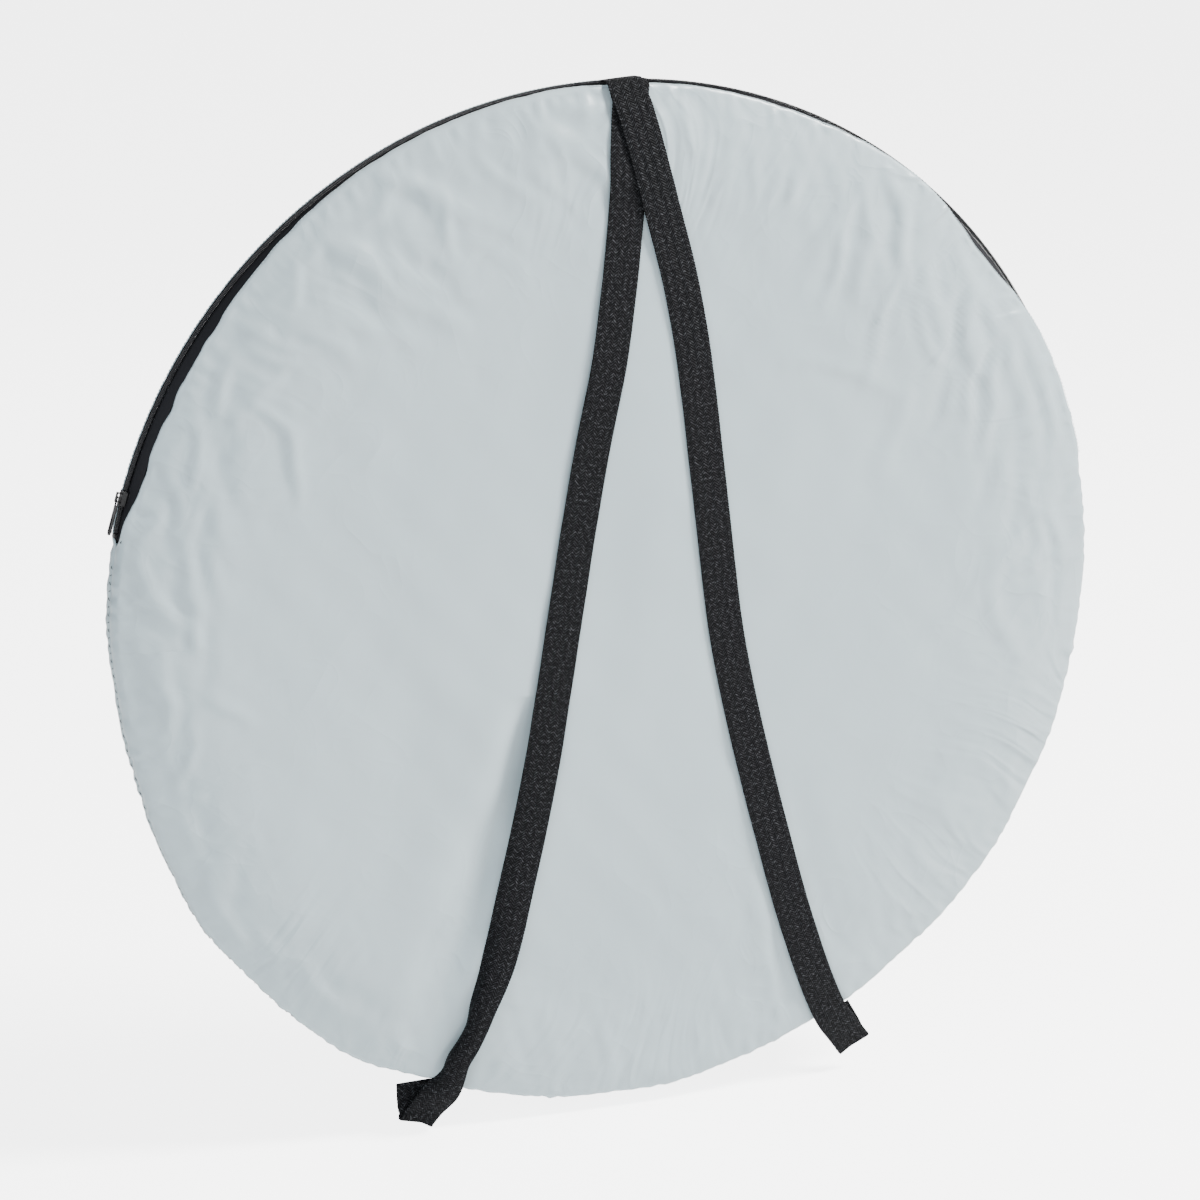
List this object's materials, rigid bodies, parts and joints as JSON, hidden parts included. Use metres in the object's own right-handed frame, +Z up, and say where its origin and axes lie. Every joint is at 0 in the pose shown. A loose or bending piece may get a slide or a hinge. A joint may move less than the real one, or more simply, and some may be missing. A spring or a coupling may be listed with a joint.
{
  "type": "pop up tent",
  "caption": "Self-erecting camping tent packed flat in its round zipped carry bag, with two webbing shoulder straps across the front.",
  "frame": {"origin": "top of the rim in the zip's mid-plane, above the disc's centre, where both shoulder straps are sewn in and the packed tent hangs from", "axes": "+Z up with the disc on its edge, +Y from the front panel to the back panel, +X to the right seen from the front"},
  "size_m": [0.8376, 0.0543, 0.8505],
  "materials": {
    "panel_cloth": "satin",
    "zip_tape": "matte",
    "zip_coil": "satin",
    "zip_metal": "gloss",
    "pale_thread": "matte",
    "dark_thread": "matte",
    "webbing": "matte",
    "hoop_rod": "satin",
    "ferrule_steel": "satin",
    "sleeve_cloth": "matte",
    "elastic": "matte",
    "canopy_cloth": "satin",
    "mesh_cloth": "matte",
    "groundsheet_cloth": "satin",
    "pouch_cloth": "satin",
    "peg_steel": "satin"
  },
  "bodies": {
    "bag": {"front_panel": "panel_cloth", "back_panel_lower": "panel_cloth", "zip_tape_front": "zip_tape", "zip_tape_back_ends": "zip_tape", "zip_coil_front": "zip_coil", "zip_coil_back_ends": "zip_coil", "zip_end_stops": "zip_metal", "zip_thread_front": "pale_thread", "rim_seam_thread": "dark_thread", "shoulder_strap_left": "webbing", "shoulder_strap_right": "webbing", "hoop_a": "hoop_rod", "hoop_b": "hoop_rod", "hoop_a_ferrule": "ferrule_steel", "hoop_b_ferrule": "ferrule_steel", "hoop_sleeve": "sleeve_cloth", "retaining_band": "elastic", "canopy_fold": "canopy_cloth", "door_fold": "mesh_cloth", "groundsheet_fold": "groundsheet_cloth", "peg_pouch": "pouch_cloth", "ground_pegs": "peg_steel"},
    "back_flap": {"back_panel_upper": "panel_cloth", "zip_tape_back": "zip_tape", "zip_coil_back": "zip_coil", "zip_thread_back": "pale_thread"},
    "slider": {"zip_slider_body": "zip_metal"},
    "pull": {"zip_pull": "zip_metal"}
  },
  "joints": [
    {"name": "zip_travel", "type": "hinge", "parent": "bag", "child": "slider", "pos_m": [0, 0, -0.42], "axis": [0, 1, 0], "range_deg": [0, 147]},
    {"name": "pull_swing", "type": "hinge", "parent": "slider", "child": "pull", "pos_m": [-0.40644, 0, -0.29961], "axis": [0, 1, 0], "range_deg": [0, 170]},
    {"name": "back_flap_fold", "type": "hinge", "parent": "bag", "child": "back_flap", "pos_m": [0, 0.025, -0.285], "axis": [-1, 0, 0], "range_deg": [0, 100]}
  ]
}
